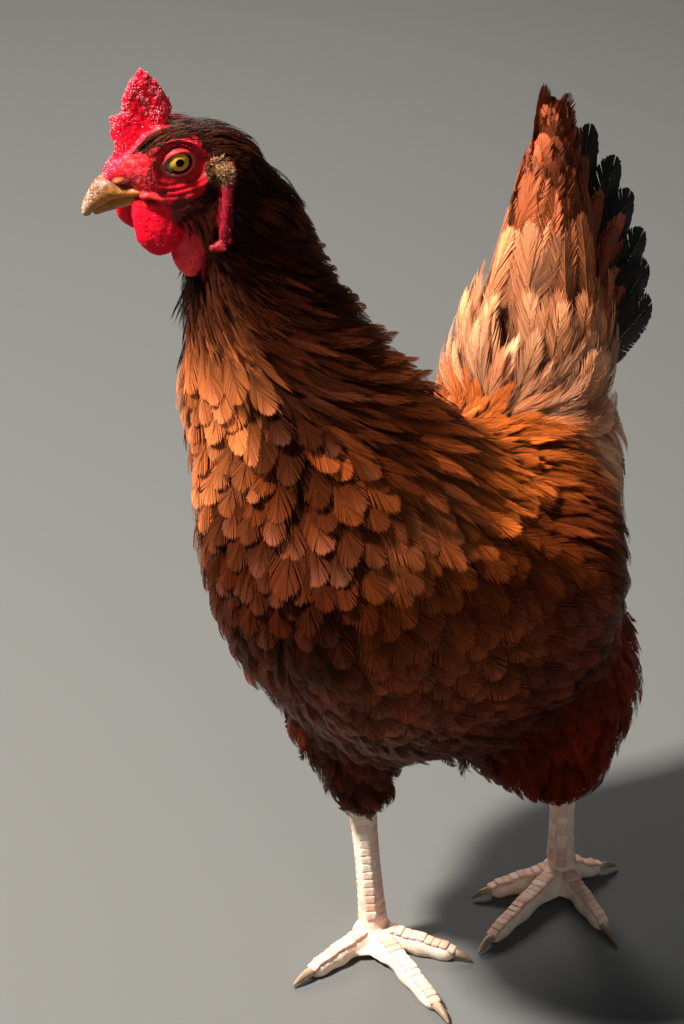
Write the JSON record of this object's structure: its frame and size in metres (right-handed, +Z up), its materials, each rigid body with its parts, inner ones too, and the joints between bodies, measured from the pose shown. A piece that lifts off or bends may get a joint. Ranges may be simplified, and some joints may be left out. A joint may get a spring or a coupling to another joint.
{
  "type": "hen",
  "caption": "Brown hen standing in mid stride with its head turned to its right, a still life-size model with feathered body, upright tail, red comb and bare scaled legs",
  "frame": {"origin": "on the floor, under the middle of the bird's box, which has the soles of the feet as its lowest level", "axes": "+Z up, the trunk faces -Y, the bird's left side is +X; the head is turned 45 degrees towards -X"},
  "size_m": [0.1612, 0.27, 0.4096],
  "materials": {
    "plumage": "glossy chestnut to mahogany body feathers, lighter and softer on the saddle",
    "dark_plumage": "greenish-black tail feathers with a silky gloss",
    "red_skin": "bare crimson skin with fine pale pimples, slightly moist",
    "beak_horn": "polished yellow horn, browner towards the ridge",
    "leg_scale": "pale yellow-pink scales with reddish-brown plates down the front",
    "claw_horn": "dark horn, worn pale at the tips",
    "eyeball": "wet amber iris round a black pupil under a clear cornea"
  },
  "bodies": {
    "root": {"trunk": "plumage", "neck_upper": "plumage", "neck_middle": "plumage", "neck_cape": "plumage", "tail_base": "plumage", "wing_left": "plumage", "wing_right": "plumage", "thigh_left": "plumage", "thigh_right": "plumage", "tail_fan_left": "dark_plumage", "tail_fan_right": "dark_plumage", "head": "red_skin", "comb": "red_skin", "wattle_left": "red_skin", "wattle_right": "red_skin", "dewlap": "red_skin", "earlobe_left": "red_skin", "earlobe_right": "red_skin", "beak_upper": "beak_horn", "beak_lower": "beak_horn", "eye_left": "eyeball", "eye_right": "eyeball", "shank_left": "leg_scale", "foot_left": "leg_scale", "toe_left_outer": "leg_scale", "toe_left_middle": "leg_scale", "toe_left_inner": "leg_scale", "toe_left_hind": "leg_scale", "claw_left_outer": "claw_horn", "claw_left_middle": "claw_horn", "claw_left_inner": "claw_horn", "claw_left_hind": "claw_horn", "shank_right": "leg_scale", "foot_right": "leg_scale", "toe_right_outer": "leg_scale", "toe_right_middle": "leg_scale", "toe_right_inner": "leg_scale", "toe_right_hind": "leg_scale", "claw_right_outer": "claw_horn", "claw_right_middle": "claw_horn", "claw_right_inner": "claw_horn", "claw_right_hind": "claw_horn"}
  },
  "joints": []
}
